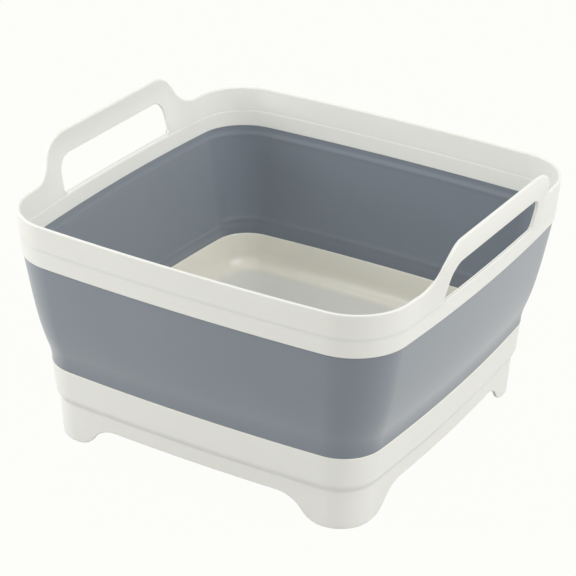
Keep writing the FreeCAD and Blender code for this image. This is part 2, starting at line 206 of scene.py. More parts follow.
class BowlBase(bpy.types.PropertyGroup):
    """Sizes of the base tray, its feet and the drain with its plug."""
    wall: length("Thickness", 3.2, "Thickness of the tray's side")
    draft: length("Draft", 1.8, "How far the tray's side draws in towards its bend")
    bend_top: length("Bend top", 38.0, "Height at which the side starts to turn in")
    bend_bottom: length("Bend bottom", 31.0, "Height of the crease over the skirt")
    bend_inset: length("Bend inset", 3.3, "How far the bend draws in")
    foot_draft: length("Foot draft", 1.5, "How far the skirt draws in from the crease to the table")
    skirt: length("Skirt thickness", 2.8, "Thickness of the skirt and the feet")
    floor_top: length("Floor height", 32.5, "Height of the bowl's floor over the table")
    floor_thickness: length("Floor thickness", 2.6, "Thickness of the floor")
    floor_round: length("Floor round", 14.0, "Radius between the floor and the tray's side")
    arch_height: length("Arch height", 18.5, "Height of the cut-outs between the feet")
    arch_flat: length("Arch flat", 132.0, "Length of a cut-out's level part")
    arch_span: length("Arch span", 202.0, "Length of a cut-out at the table")
    arch_share: factor("Arch share", 0.55, "Upper arc's share of the curve from a cut-out down to a foot")
    bore: length("Drain bore", 34.0, "Diameter of the drain")
    drain_depth: length("Drain depth", 11.5, "From the floor down to the drain collar's end")
    collar: length("Collar thickness", 3.0, "Thickness of the drain's collar")
    seat: length("Seat diameter", 47.0, "Diameter of the recess for the plug's flange")
    seat_depth: length("Seat depth", 3.0, "Depth of the recess for the plug's flange")
    bar: length("Strainer bar", 3.0, "Width of the bars across the drain")
    bar_thickness: length("Strainer thickness", 2.2, "Height of the bars across the drain")
    plug_gap: length("Plug gap", 0.4, "Clearance round the plug")
    plug_flange: length("Plug flange", 2.4, "Thickness of the plug's flange")
    plug_body: length("Plug body", 5.0, "Depth of the plug's body in the bore")
    tab_width: length("Tab width", 22.0, "Width of the plug's pull tab")
    tab_thickness: length("Tab thickness", 4.0, "Thickness of the pull tab's web")
    tab_bead: length("Tab bead", 6.0, "Diameter of the bead along the pull tab's top")

    @property
    def top(self):
        return BASE_BOX[1].z - bpy.context.scene.bowl_wall.seam_step


class BowlFinish(bpy.types.PropertyGroup):
    """Colours and gloss of the two plastics."""
    white: colour("White", "#EEEEEA", "Polypropylene of the rim, the handles and the base")
    white_shade: colour("White shade", "#EAEAE5", "Faint flow marks in the white polypropylene")
    # Painted warm glow: the inside's cream tints stand in for light that passes through and between the
    # base's walls; the second tint also carries faint flow marks
    inside: colour("Inside", "#F8F5E8", "Polished inside of the base, warmed by the light between its walls")
    # Painted shade: this colour greys the level faces of the inside, standing in for the shade and the
    # reflection of the grey walls over them
    floor: colour("Floor", "#E4E5E2", "Polished floor of the base, greyed by the walls over it")
    painted_glow_flow_marks: colour("Inside shade", "#F4F1E3", "Faint flow marks in the inside of the base")
    grey: colour("Grey", "#757E89", "Soft rubber of the folding wall and the plug")
    grey_shade: colour("Grey shade", "#6F7883", "Faint mottling in the grey rubber")
    white_roughness: factor("White roughness", 0.38, "Roughness of the satin polypropylene")
    floor_roughness: factor("Floor roughness", 0.2, "Roughness of the polished inside of the base")
    grey_roughness: factor("Grey roughness", 0.55, "Roughness of the matt rubber")


class BowlStudio(bpy.types.PropertyGroup):
    """Camera, lamps and backdrop."""
    lens: amount("Lens", 136.14, "Focal length on a 36 mm sensor", "CAMERA")
    azimuth: angle("Azimuth", 30.46, "Camera's turn from the front towards the right-hand handle")
    elevation: angle("Elevation", 26.99, "Camera's height above the horizon")
    roll: angle("Roll", 1.39, "Camera's tilt about its own axis")
    distance: length("Distance", 1569.38, "From the camera to its target")
    target: FloatVectorProperty(name="Target", description="Point that the camera looks at",
                                default=(-6.58 * MM, 4.61 * MM, 93.83 * MM), unit="LENGTH", subtype="XYZ")
    paper: colour("Paper", "#FEFEFB", "Backdrop and floor")
    sky: amount("Sky", 1.02, "Strength of the light from all round, at the horizon")
    overhead: amount("Overhead", 0.55, "Strength of the light from straight above")
    right_lamp: amount("Right lamp", 9.0, "Power of the softbox on the right", "POWER")
    left_lamp: amount("Left lamp", 8.0, "Power of the softbox on the front left", "POWER")
    top_lamp: amount("Top lamp", 2.0, "Power of the softbox overhead", "POWER")


def sizes():
    """The scene's sizes of rim, wall and base."""
    scene = bpy.context.scene
    return scene.bowl_rim, scene.bowl_wall, scene.bowl_base


def smooth(t):
    """Eases from 0 to 1."""
    t = np.clip(t, 0.0, 1.0)
    return t * t * (3.0 - 2.0 * t)


def rim_at(z):
    """Half sizes and corner radius of the rim's outside at height z, beside the handles."""
    rim = bpy.context.scene.bowl_rim
    out = rim.draft * (z - rim.lip) / rim.height
    return rim.length_over_lip / 2.0 + out, rim.width_over_lip / 2.0 + out, rim.corner + out / 2.0


def stand_out(ring, inset):
    """Moves the handles' part of a ring from the rim's bowed sides onto flat plates that lean outwards."""
    rim = bpy.context.scene.bowl_rim
    y, z = np.abs(ring[:, 1]), ring[:, 2]
    share = smooth((z - rim.band_top + rim.lean_below) / rim.lean_ease)
    share = share * (1.0 - smooth((y - rim.handle_flat / 2.0) / rim.handle_ease))
    plate = rim.length_over_lip / 2.0 - rim.handle_set_in - inset
    plate = plate + rim.handle_lean * smooth((z - rim.band_top) / rim.lean_height)
    bowed = np.abs(ring[:, 0])
    ring[:, 0] = np.sign(ring[:, 0]) * (bowed + share * (plate - bowed))
    return ring


def wall_at(z, bend=None):
    """The same for the folding wall, which bulges over its panel and stands upright over the base."""
    rim, wall, base = sizes()
    low = base.top + wall.upright
    drop = np.clip((rim.seam - z) / (rim.seam - low), 0.0, None)
    soft = (bend or wall.bend) / (rim.seam - low)
    drop = np.minimum(drop - np.clip(drop - 1.0 + soft, 0.0, 2.0 * soft) ** 2 / (4.0 * soft), 1.0)
    share = drop * (1.0 - wall.bulge) + wall.bulge * drop ** wall.bulge_power
    half_x, half_y, corner = (size - wall.undercut for size in rim_at(rim.seam))
    in_x = (wall.draft_x - wall.undercut) * share
    in_y = (wall.draft_y - wall.undercut) * share
    return half_x - in_x, half_y - in_y, corner + (wall.waist_corner - corner) * share


def base_at(z):
    """The same for the base: drafted side, a bend inwards, then the skirt that carries the feet."""
    base = bpy.context.scene.bowl_base
    half_x, half_y, corner = wall_at(base.top)
    inset = base.draft * np.minimum((base.top - z) / (base.top - base.bend_top), 1.0)
    bend = np.clip((base.bend_top - z) / (base.bend_top - base.bend_bottom), 0.0, 1.0)
    inset = inset + base.bend_inset * bend ** 2
    inset = inset + base.foot_draft * np.maximum((base.bend_bottom - z) / base.bend_bottom, 0.0)
    return half_x - inset, half_y - inset, corner - inset


class Columns:
    """Where the columns of a skin stand round an outline.

    On a side, a column is fixed + share * (the side's end) from the middle. On a corner, share is its turn.
    """

    def __init__(self, x_side, y_side, corner_count):
        turn = [(0.0, (i + 1.0) / (corner_count + 1.0)) for i in range(corner_count)]
        back_x, back_y = ([(-a, -b) for a, b in side] for side in (x_side, y_side))
        runs = ((X_SIDE, 1, 1, x_side), (CORNER, 1, 1, turn), (Y_SIDE, 1, 1, back_y),
                (CORNER, -1, 1, turn[::-1]), (X_SIDE, -1, 1, back_x), (CORNER, -1, -1, turn),
                (Y_SIDE, 1, -1, y_side), (CORNER, 1, -1, turn[::-1]))
        spots = [(kind, sign_x, sign_y, *spot) for kind, sign_x, sign_y, run in runs for spot in run]
        self.kind, self.sign_x, self.sign_y, self.fixed, self.share = np.array(spots).T

    def place(self, skin, z, inset=0.0, fixed=None):
        """One ring of points on a skin, moved inwards by inset."""
        rim = bpy.context.scene.bowl_rim
        z = np.broadcast_to(z, self.kind.shape)
        half_x, half_y, corner = (size - inset for size in skin(z))
        core_x = half_x - corner - rim.bow_x
        core_y = half_y - corner - rim.bow_y
        bend_x = (core_y ** 2 + rim.bow_x ** 2) / (2.0 * rim.bow_x)
        bend_y = (core_x ** 2 + rim.bow_y ** 2) / (2.0 * rim.bow_y)
        turn_x = np.arcsin(core_y / bend_x)
        turn_y = np.arcsin(core_x / bend_y)
        reach_x = bend_x + corner
        reach_y = bend_y + corner
        fixed = self.fixed if fixed is None else fixed
        side_y = np.clip(fixed + self.share * core_y * reach_x / bend_x, -reach_x, reach_x)
        side_x = np.clip(fixed + self.share * core_x * reach_y / bend_y, -reach_y, reach_y)
        around = turn_x + self.share * (math.pi / 2.0 - turn_x - turn_y)
        on_x, on_corner = self.kind == X_SIDE, self.kind == CORNER
        bowed_x = core_x + rim.bow_x - bend_x + np.sqrt(reach_x ** 2 - side_y ** 2)
        bowed_y = core_y + rim.bow_y - bend_y + np.sqrt(reach_y ** 2 - side_x ** 2)
        x = np.where(on_corner, self.sign_x * (core_x + corner * np.cos(around)), side_x)
        x = np.where(on_x, self.sign_x * bowed_x, x)
        y = np.where(on_corner, self.sign_y * (core_y + corner * np.sin(around)), self.sign_y * bowed_y)
        y = np.where(on_x, side_y, y)
        return np.stack([x, y, z], axis=-1)

    def level(self, z):
        """Place along its side and height of every column, all at one height."""
        return np.stack([self.fixed, np.full(self.kind.shape, z)], axis=-1)


def even_side(count):
    """Columns spread evenly from one end of a side to the other, both ends included."""
    return [(0.0, share) for share in np.linspace(-1.0, 1.0, count)]


def tailed_side(end, count, middle):
    """Columns of a side: fixed ones in the middle, and some at each end that lead over to the corners."""
    tail = [(end * (1.0 - share), share) for share in np.linspace(1.0, 0.0, count + 1)[:-1]]
    return [(-a, -b) for a, b in tail] + middle + tail[::-1]


def both_halves(half):
    """A curve over a whole side, out of its half from one end to the middle."""
    return np.concatenate([half * (-1.0, 1.0), half[::-1][1:]])


def quarter_round(radius):
    """Steps of a quarter round, from its side to its top: how far in, and how far below the top."""
    return [(radius * (1.0 - math.cos(a)), radius * (1.0 - math.sin(a))) for a in QUARTER]


def closed_skin(rows):
    """Points and quads of a skin through rings of points, whose last ring joins the first."""
    points = np.array(rows)
    index = np.arange(points.shape[0] * points.shape[1]).reshape(points.shape[:2])
    below = np.roll(index, -1, axis=0)
    faces = np.stack([index, np.roll(index, -1, axis=1), np.roll(below, -1, axis=1), below], axis=-1)
    return points.reshape(-1, 3).tolist(), faces.reshape(-1, 4).tolist()


def stacked_skin(points, count):
    """Points and faces of a skin through stacked sections of count points, with a face at each end."""
    faces = []
    for first in range(0, len(points) - count, count):
        for i in range(count):
            a, b = first + i, first + (i + 1) % count
            faces.append([a, b, b + count, a + count])
    faces.append(list(range(count))[::-1])
    faces.append(list(range(len(points) - count, len(points))))
    return points, faces


def make_piece(name, skins, materials, body=None):
    """One mesh object from closed skins, with outward faces, smooth shading and crisp corners."""
    points, faces = [], []
    for skin_points, skin_faces in skins:
        start = len(points)
        points += skin_points
        faces += [[i + start for i in face] for face in skin_faces]
    mesh = bpy.data.meshes.new(name)
    mesh.from_pydata(points, [], faces)
    work = bmesh.new()
    work.from_mesh(mesh)
    bmesh.ops.recalc_face_normals(work, faces=work.faces)
    loose = [edge for edge in work.edges if not edge.is_manifold]
    work.to_mesh(mesh)
    work.free()
    if loose:
        raise RuntimeError(name + " is not closed: " + str(len(loose)) + " open edges")
    mesh.shade_smooth()
    mesh.set_sharp_from_angle(angle=CRISP)
    piece = bpy.data.objects.new(name, mesh)
    bpy.context.scene.collection.objects.link(piece)
    for material in materials:
        mesh.materials.append(material)
    if body:
        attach(piece, body)
    return piece


def reverse_curve(start, end, share, count):
    """Points along two tangent arcs from start to end, which leave and arrive level."""
    run, rise = end[0] - start[0], end[1] - start[1]
    turn = 2.0 * math.atan2(abs(rise), abs(run))
    total = abs(run) / math.sin(turn)
    side, lift = math.copysign(1.0, run), math.copysign(1.0, rise)
    points = []
    for i in range(count + 1):
        t = i / count
        first = t <= share
        origin, radius, way = (start, total * share, 1.0) if first else (end, total * (1.0 - share), -1.0)
        bend = turn * (t / share if first else (1.0 - t) / (1.0 - share))
        points.append((origin[0] + way * side * radius * math.sin(bend),
                       origin[1] + way * lift * radius * (1.0 - math.cos(bend))))
    return points


def arc_points(centre, radius, start, end, count):
    """Points along an arc in a flat plane; angles in degrees."""
    spots = [math.radians(start + (end - start) * i / count) for i in range(count + 1)]
    return [(centre[0] + radius * math.cos(a), centre[1] + radius * math.sin(a)) for a in spots]


def spread(path, count):
    """Evenly spaced points along a path of straight runs."""
    path = np.array(path)
    steps = np.concatenate([[0.0], np.cumsum(np.linalg.norm(np.diff(path, axis=0), axis=1))])
    spots = np.linspace(0.0, steps[-1], count)
    return np.stack([np.interp(spots, steps, path[:, i]) for i in (0, 1)], axis=-1)


def edge_normals(path, side):
    """Unit normals of a path in a flat plane, to its left (side 1) or right (side -1)."""
    along = np.gradient(np.array(path), axis=0)
    along /= np.linalg.norm(along, axis=1)[:, None]
    return side * np.stack([-along[:, 1], along[:, 0]], axis=-1)


def handle_curves():
    """Lower and upper edge of one half of a handle side, from the handle's foot to the middle of its grip.

    Gives (y, z) points and outward normals of the lower edge, then of the upper edge.
    """
    rim = bpy.context.scene.bowl_rim
    foot_count, heel_count, rise_count, bend_count, level_count, shoulder_count = 15, 6, 9, 16, 22, 200
    hidden = rim.band_top - HIDDEN_FOOT
    half_span, half_grip = rim.handle_span / 2.0, rim.handle_grip / 2.0
    half_low = rim.slot_length / 2.0
    half_high = half_low - rim.slot_lean
    top = rim.band_top + rim.slot_height
    lean = math.degrees(math.atan2(rim.slot_lean, rim.slot_height))
    slope = rim.slot_lean / rim.slot_height
    foot = spread([(half_span, hidden), (half_low - rim.slot_heel, hidden)], foot_count)[:-1]
    heel_z = rim.band_top + rim.slot_heel
    heel_y = half_low - slope * rim.slot_heel
    heel = arc_points((heel_y - rim.slot_heel, heel_z), rim.slot_heel, -90.0, -lean, heel_count)
    centre_y = half_high + slope * rim.slot_round - rim.slot_round / math.cos(math.radians(lean))
    centre = (centre_y, top - rim.slot_round)
    bend = arc_points(centre, rim.slot_round, lean, 90.0, bend_count)
    rise = spread([heel[-1], bend[0]], rise_count)[1:-1]
    level = spread([bend[-1], (0.0, top)], level_count)[1:]
    lower = np.concatenate([foot, heel, rise, bend, level])
    lower_normals = edge_normals(lower, 1.0)
    lower_normals[:len(foot)] = (0.0, -1.0)
    ends = (half_grip, rim.handle_top), (half_span, rim.lip)
    shoulder = reverse_curve(*ends, rim.shoulder, shoulder_count)[::-1]
    rising = spread(shoulder, len(lower) - len(level) + 1)[:-1]
    flat = spread([shoulder[-1], (0.0, rim.handle_top)], len(level))
    upper = np.concatenate([rising, flat])
    upper_normals = edge_normals(upper, -1.0)
    return lower, lower_normals, upper, upper_normals


def rim_plate():
    """Rim above its band with both handles: one strip that runs round the hand slots."""
    rim = bpy.context.scene.bowl_rim
    lower, lower_normals, upper, upper_normals = handle_curves()
    tails = 8
    side = tailed_side(rim.handle_span / 2.0, tails, [(0.0, 0.0)] * (2 * len(lower) - 1))
    columns = Columns(side, even_side(SIDE_COLUMNS), RIM_CORNER_COLUMNS)
    low, high = columns.level(rim.band_top - HIDDEN_FOOT), columns.level(rim.lip)
    low_out, high_out = (np.tile((0.0, way), (len(low), 1)) for way in (-1.0, 1.0))
    opposite = len(side) + SIDE_COLUMNS + 2 * RIM_CORNER_COLUMNS
    for start, way in ((tails, 1.0), (opposite + tails, -1.0)):
        for edge, half in ((low, lower), (high, upper), (low_out, lower_normals), (high_out, upper_normals)):
            whole = both_halves(half)
            edge[start:start + len(whole)] = whole * (way, 1.0)
    low_in = low - low_out * rim.edge_round
    high_in = high - high_out * rim.lip_round
    rows = []

    def add_row(points, depth, inside=False):
        """A row under the outside, or as deep under the inside, which draws nearer towards the lip."""
        if inside:
            rise = (points[:, 1] - rim.band_top) / (rim.lip - rim.band_top)
            depth = rim.wall - rim.thinning * smooth(rise) - depth
        rows.append(stand_out(columns.place(rim_at, points[:, 1], depth, points[:, 0]), depth))

    def add_round(middle, normals, radius, angles, inside=False):
        for a in angles:
            add_row(middle + normals * radius * math.sin(a), radius * (1.0 - math.cos(a)), inside)

    # Rows close to both ends keep the face flat beside its rounds
    face = np.concatenate([[0.0, 0.01], np.linspace(0.04, 0.96, 13), [0.99, 1.0]])
    for t in face:
        add_row(low_in + (high_in - low_in) * t, 0.0)
    add_round(high_in, high_out, rim.lip_round, QUARTER[1:])
    add_round(high_in, high_out, rim.lip_round, QUARTER[::-1], True)
    for t in face[::-1][1:]:
        add_row(low_in + (high_in - low_in) * t, 0.0, True)
    add_round(low_in, low_out, rim.edge_round, QUARTER[1:], True)
    add_round(low_in, low_out, rim.edge_round, QUARTER[::-1][:-1])
    return closed_skin(rows)


def rounded_profile(corners, steps=4):
    """(inset, z) points round a closed profile; each corner is (inset, z, radius).

    A row close to each end of a round keeps the faces beside it flat under smooth shading.
    """
    points = []
    count = len(corners)
    for i, (inset, z, radius) in enumerate(corners):
        here = np.array((inset, z))
        before = np.array(corners[i - 1][:2]) - here
        after = np.array(corners[(i + 1) % count][:2]) - here
        if radius <= 0.0:
            points.append(tuple(here))
            continue
        before /= np.linalg.norm(before)
        after /= np.linalg.norm(after)
        start, end = here + before * radius, here + after * radius
        points.append(tuple(start + before * radius * SUPPORT))
        for t in np.linspace(0.0, 1.0, steps + 1):
            points.append(tuple((1.0 - t) ** 2 * start + 2.0 * t * (1.0 - t) * here + t * t * end))
        points.append(tuple(end + after * radius * SUPPORT))
    return points


def rim_band():
    """Thicker band at the foot of the rim, with the groove that grips the wall's tongue."""
    rim, wall, _ = sizes()
    # The band stands a hair out of the plate, so that the two faces never coincide
    outer, inner = -0.02 * MM, rim.wall + rim.band_proud
    seam_round, step_round = 0.4 * MM, 0.35 * MM
    near, far = wall.groove
    groove_top = WALL_BOX[1].z + wall.tongue_gap
    step = rim.seam + wall.seam_step
    profile = rounded_profile([
        (outer, rim.seam, seam_round), (outer, rim.band_top, rim.edge_round),
        (inner, rim.band_top, rim.band_round), (inner, step, step_round), (far, step, 0.0),
        (far, groove_top, 0.0), (near, groove_top, 0.0), (near, rim.seam, 0.0)])
    columns = Columns(even_side(SIDE_COLUMNS), even_side(SIDE_COLUMNS), RIM_CORNER_COLUMNS)
    return closed_skin([stand_out(columns.place(rim_at, z, inset), inset) for inset, z in profile])


def wall_skin():
    """Soft wall: a panel between two thinner hinge bands, with a tongue at each edge."""
    rim, wall, base = sizes()
    seam, waist = rim.seam, base.top
    tongue_low, tongue_top = WALL_BOX[0].z, WALL_BOX[1].z
    near, far = wall.tongue_inset, wall.tongue_inset + wall.tongue
    soft, clear = 0.4 * MM, 1.2 * MM
    outer_rows, upper_rows, panel_rows, lower_rows = 72, 24, 42, 36
    round_angles = np.radians((0, 30, 60, 90))
    drawn_in = soft * (1.0 - np.sin(round_angles))
    raised = soft * (1.0 - np.cos(round_angles))
    outer_z = np.concatenate([waist + raised, np.linspace(waist + clear, seam - clear, outer_rows),
                              seam - raised[::-1]])
    outer_inset = np.concatenate([drawn_in, np.zeros(outer_rows), drawn_in[::-1]])
    rows = [(wall_at, z, inset) for z, inset in zip(outer_z, outer_inset)]
    upper_step, lower_step = seam + wall.seam_step, waist + wall.seam_step
    rows += [(rim_at, seam, near), (rim_at, tongue_top, near), (rim_at, tongue_top, far),
             (rim_at, upper_step, far), (rim_at, upper_step, wall.undercut + wall.hinge)]
    upper, lower = seam - wall.upper_hinge, waist + wall.lower_hinge

    def inner_inset(z):
        panel = smooth((upper + wall.ramp - z) / wall.ramp) * smooth((z - lower + wall.ramp) / wall.ramp)
        beads = sum(math.exp(-((z - fold) / wall.bead_width) ** 2) for fold in (upper, lower))
        return wall.hinge + (wall.panel - wall.hinge) * panel + wall.bead * beads

    def inner_at(z):
        return wall_at(z, wall.inner_bend)

    # The rows lie closer beside the two folds than over the panel
    beside = 3.0 * wall.bead_width
    inner_z = np.concatenate([np.linspace(seam, upper - beside, upper_rows),
                              np.linspace(upper - beside, lower + beside, panel_rows)[1:-1],
                              np.linspace(lower + beside, lower_step, lower_rows)])
    rows += [(inner_at, z, inner_inset(z)) for z in inner_z]
    rows += [(base_at, lower_step, far), (base_at, tongue_low, far), (base_at, tongue_low, near),
             (base_at, waist, near)]
    columns = Columns(even_side(SIDE_COLUMNS), even_side(SIDE_COLUMNS), WALL_CORNER_COLUMNS)
    return closed_skin([columns.place(skin, z, inset) for skin, z, inset in rows])


def arch_edge(half_count):
    """Lower edge of one half of a skirt side, from a foot to the middle: points and outward normals."""
    base = bpy.context.scene.bowl_base
    flat, span = base.arch_flat / 2.0, base.arch_span / 2.0
    curve = reverse_curve((flat, base.arch_height), (span, 0.0), base.arch_share, half_count)
    level = spread([(flat, base.arch_height), (0.0, base.arch_height)], half_count + 1)[1:]
    path = np.concatenate([np.array(curve[::-1]), level])
    normals = edge_normals(path, 1.0)
    normals[0] = (0.0, -1.0)
    return path, normals


def skirt_edge():
    """The base's columns, and the lower edge of its skirt and feet: points and outward normals."""
    base = bpy.context.scene.bowl_base
    tails, arch_count = 3, 24
    half, half_out = arch_edge(arch_count)
    span, flat = base.arch_span / 2.0, base.arch_flat / 2.0
    upper = np.concatenate([np.linspace(span, flat, arch_count + 1),
                            np.linspace(flat, 0.0, arch_count + 1)[1:]])
    top_side = np.concatenate([-upper, upper[::-1][1:]])
    side = tailed_side(span, tails, [(y, 0.0) for y in top_side])
    columns = Columns(side, side, BASE_CORNER_COLUMNS)
    edge = columns.level(0.0)
    edge_out = np.tile((0.0, -1.0), (len(edge), 1))
    # The four sides in turn, and which way the columns run along each
    for number, way in enumerate((1.0, -1.0, -1.0, 1.0)):
        start = number * (len(side) + BASE_CORNER_COLUMNS) + tails
        edge[start:start + len(top_side)] = both_halves(half) * (way, 1.0)
        edge_out[start:start + len(top_side)] = both_halves(half_out) * (way, 1.0)
    return columns, edge, edge_out


def drain_profile():
    """(radius, z) steps of the drain, from its collar through its bore and seat up to the floor."""
    base = bpy.context.scene.bowl_base
    collar_round, bore_round, seat_round = 0.5 * MM, 0.4 * MM, 0.6 * MM
    bore, seat = base.bore / 2.0, base.seat / 2.0
    bore_collar, seat_collar = bore + base.collar, seat + base.collar
    seat_z, drain_z = base.floor_top - base.seat_depth, base.floor_top - base.drain_depth
    step = seat_z - base.collar
    steps = [(seat_collar, step + collar_round), (seat_collar - collar_round, step), (bore_collar, step),
             (bore_collar, drain_z + bore_round), (bore_collar - bore_round, drain_z),
             (bore + bore_round, drain_z), (bore, drain_z + bore_round), (bore, seat_z - bore_round),
             (bore + bore_round, seat_z), (seat - bore_round, seat_z), (seat, seat_z + bore_round)]
    return steps + [(seat + inwards, base.floor_top - below) for inwards, below in quarter_round(seat_round)]


def base_skin():
    """Base tray in one skin: side, skirt with four feet, underside, drain and floor."""
    _, wall, base = sizes()
    side_rows, bend_rows, skirt_rows, inner_rows, fillet_rows, lip_rows = 12, 9, 13, 11, 15, 10
    foot_round, lip_round, under_round = 0.7 * MM, 0.45 * MM, 1.5 * MM
    columns, edge, edge_out = skirt_edge()
    edge_in = edge - edge_out * foot_round
    rows = []

    def on_skin(z, inset):
        rows.append(columns.place(base_at, z, inset))

    def on_edge(points, depth):
        rows.append(columns.place(base_at, points[:, 1], depth, points[:, 0]))

    lip, clear = base.top + wall.seam_step, 2.0 * MM
    near, far = wall.groove
    groove_low = WALL_BOX[0].z - wall.tongue_gap
    for z, inset in ((lip, far), (groove_low, far), (groove_low, near), (base.top, near)):
        on_skin(z, inset)
    for inwards, below in quarter_round(lip_round)[::-1]:
        on_skin(base.top - below, inwards)
    for z in (*np.linspace(base.top - clear, base.bend_top, side_rows),
              *np.linspace(base.bend_top, base.bend_bottom, bend_rows)[1:]):
        on_skin(z, 0.0)
    skirt_top = columns.level(base.bend_bottom)
    for t in np.linspace(0.0, 1.0, skirt_rows)[1:]:
        on_edge(skirt_top + (edge_in - skirt_top) * t, 0.0)
    for a in QUARTER[1:]:
        on_edge(edge_in + edge_out * foot_round * math.sin(a), foot_round * (1.0 - math.cos(a)))
    for a in QUARTER[::-1]:
        on_edge(edge_in + edge_out * foot_round * math.sin(a), base.skirt - foot_round * (1.0 - math.cos(a)))
    under = base.floor_top - base.floor_thickness
    inner_top = columns.level(under - under_round)
    for t in np.linspace(1.0, 0.0, inner_rows)[1:]:
        on_edge(edge_in + (inner_top - edge_in) * (1.0 - t), base.skirt)
    for inwards, below in quarter_round(under_round)[1:]:
        on_skin(under - below, base.skirt + inwards)
    rim_ring = rows[-1]
    heading = np.arctan2(rim_ring[:, 1], rim_ring[:, 0])
    circle = np.stack([np.cos(heading), np.sin(heading)], axis=-1)

    def on_floor(ring, radius, z, share):
        flat = circle * radius + (ring[:, :2] - circle * radius) * share
        rows.append(np.concatenate([flat, np.full((len(ring), 1), z)], axis=-1))

    # The rings under the floor and on it pass from the tray's outline to the drain's circle
    drain = drain_profile()
    for share in (0.85, 0.7, 0.55, 0.4, 0.25, 0.12, 0.03, 0.0):
        on_floor(rim_ring, drain[0][0], under, share)
    for radius, z in drain:
        on_floor(rim_ring, radius, z, 0.0)
    # The floor's round stops short of upright, where the drafted side takes over
    fillet, fillet_turn, fillet_clear = base.floor_round, 86.0, 1.0 * MM
    floor_edge = columns.place(base_at, base.floor_top + fillet, base.wall + fillet)
    for share in (0.01, 0.04, 0.1, 0.2, 0.3, 0.4, 0.5, 0.6, 0.7, 0.8, 0.9, 0.97):
        on_floor(floor_edge, drain[-1][0], base.floor_top, share)
    for a in np.radians(np.linspace(0.0, fillet_turn, fillet_rows)):
        ring = columns.place(base_at, base.floor_top + fillet, base.wall + fillet * (1.0 - math.sin(a)))
        ring[:, 2] = base.floor_top + fillet * (1.0 - math.cos(a))
        rows.append(ring)
    chamfer_height, chamfer_depth = 0.4 * MM, 0.3 * MM
    for z in np.linspace(base.floor_top + fillet + fillet_clear, lip - chamfer_height, lip_rows):
        on_skin(z, base.wall)
    on_skin(lip, base.wall - chamfer_depth)
    return closed_skin(rows)


def strainer():
    """Crossed bars in the drain's lower end."""
    base = bpy.context.scene.bowl_base
    buried, soft = 1.0 * MM, 0.4 * MM
    reach, half = base.bore / 2.0 + buried, base.bar / 2.0
    low = base.floor_top - base.drain_depth
    high = low + base.bar_thickness
    plan = [(reach, -half), (reach, half), (half, half)]
    for _ in range(3):
        plan += [(-y, x) for x, y in plan[-3:]]

    def drawn_in(value, inset):
        return math.copysign(abs(value) - (inset if abs(value) == half else 0.0), value)

    levels = ((low, soft), (low + soft, 0.0), (high - soft, 0.0), (high, soft))
    points = [(drawn_in(x, inset), drawn_in(y, inset), z) for z, inset in levels for x, y in plan]
    return stacked_skin(points, len(plan))


def turned_skin(profile, count):
    """Points and faces of a skin turned about the middle axis, on which its profile starts and ends."""
    points = [(0.0, 0.0, profile[0][1])]
    for radius, z in profile[1:-1]:
        for i in range(count):
            a = 2.0 * math.pi * i / count
            points.append((radius * math.cos(a), radius * math.sin(a), z))
    points.append((0.0, 0.0, profile[-1][1]))
    last = len(points) - 1
    rings = len(profile) - 2
    faces = []
    for i in range(count):
        following = (i + 1) % count
        faces.append([0, 1 + following, 1 + i])
        faces.append([last, last - count + i, last - count + following])
        for ring in range(rings - 1):
            a, b = 1 + ring * count + i, 1 + ring * count + following
            faces.append([a, b, b + count, a + count])
    return points, faces


def plug_body():
    """Drain plug's flange, which lies on the seat, and its body in the bore with two sealing beads."""
    base = bpy.context.scene.bowl_base
    seat_z = base.floor_top - base.seat_depth
    body, flange = base.bore / 2.0 - base.plug_gap, base.seat / 2.0 - base.plug_gap
    low, top = seat_z - base.plug_body, seat_z + base.plug_flange
    turned_count, seal_count = 96, 7
    seal_depth, seal_half, edge, flange_round = 0.35 * MM, 0.6 * MM, 0.3 * MM, 0.8 * MM
    # Millimetres in and up: the lead-in at the body's end, and the groove in the flange's top
    lead_in = ((1.6, 0.0), (1.2, 0.2), (0.35, 1.2))
    groove = ((3.0, 0.0), (3.6, -0.25), (5.0, -0.25), (5.6, 0.0))
    profile = [(0.0, low)] + [(body - x * MM, low + z * MM) for x, z in lead_in]
    for seal_z in (low + 2.0 * MM, low + 3.6 * MM):
        for k in np.linspace(-1.0, 1.0, seal_count):
            profile.append((body - seal_depth * k * k, seal_z + seal_half * k))
    profile += [(body - seal_depth, seat_z), (flange - edge, seat_z), (flange, seat_z + edge)]
    profile += [(flange - inwards, top - below) for inwards, below in quarter_round(flange_round)]
    profile += [(flange - x * MM, top + z * MM) for x, z in groove] + [(0.0, top)]
    return turned_skin(profile, turned_count)


def pull_tab():
    """Drain plug's tab: a web that flares at its root, with a bead along its top to pull it by."""
    base = bpy.context.scene.bowl_base
    top = base.floor_top - base.seat_depth + base.plug_flange
    bead_count = 28
    bead, web, half = base.tab_bead / 2.0, base.tab_thickness / 2.0, base.tab_width / 2.0
    bead_z, root, foot, flare = PLUG_BOX[1].z - bead, top - 0.4 * MM, top + 1.2 * MM, 1.0 * MM
    neck = math.degrees(math.asin(web / bead))
    section = arc_points((0.0, bead_z), bead, -90.0 + neck, 270.0 - neck, bead_count)
    section += [(-web, foot), (-web - flare, root), (web + flare, root), (web, foot)]
    # The tab's ends are rounded: its section shrinks there towards a point in the bead
    middle, end_round, shrink = np.array((0.0, bead_z - 2.0 * MM)), 1.5 * MM, 0.35
    rows = [(-half + end_round * (1.0 - math.cos(a)), 1.0 - shrink * (1.0 - math.sin(a))) for a in QUARTER]
    rows += [(-x, size) for x, size in rows[::-1]]
    points = []
    for x, size in rows:
        points += [(x, y, max(z, root)) for y, z in middle + (np.array(section) - middle) * size]
    return stacked_skin(points, len(section))


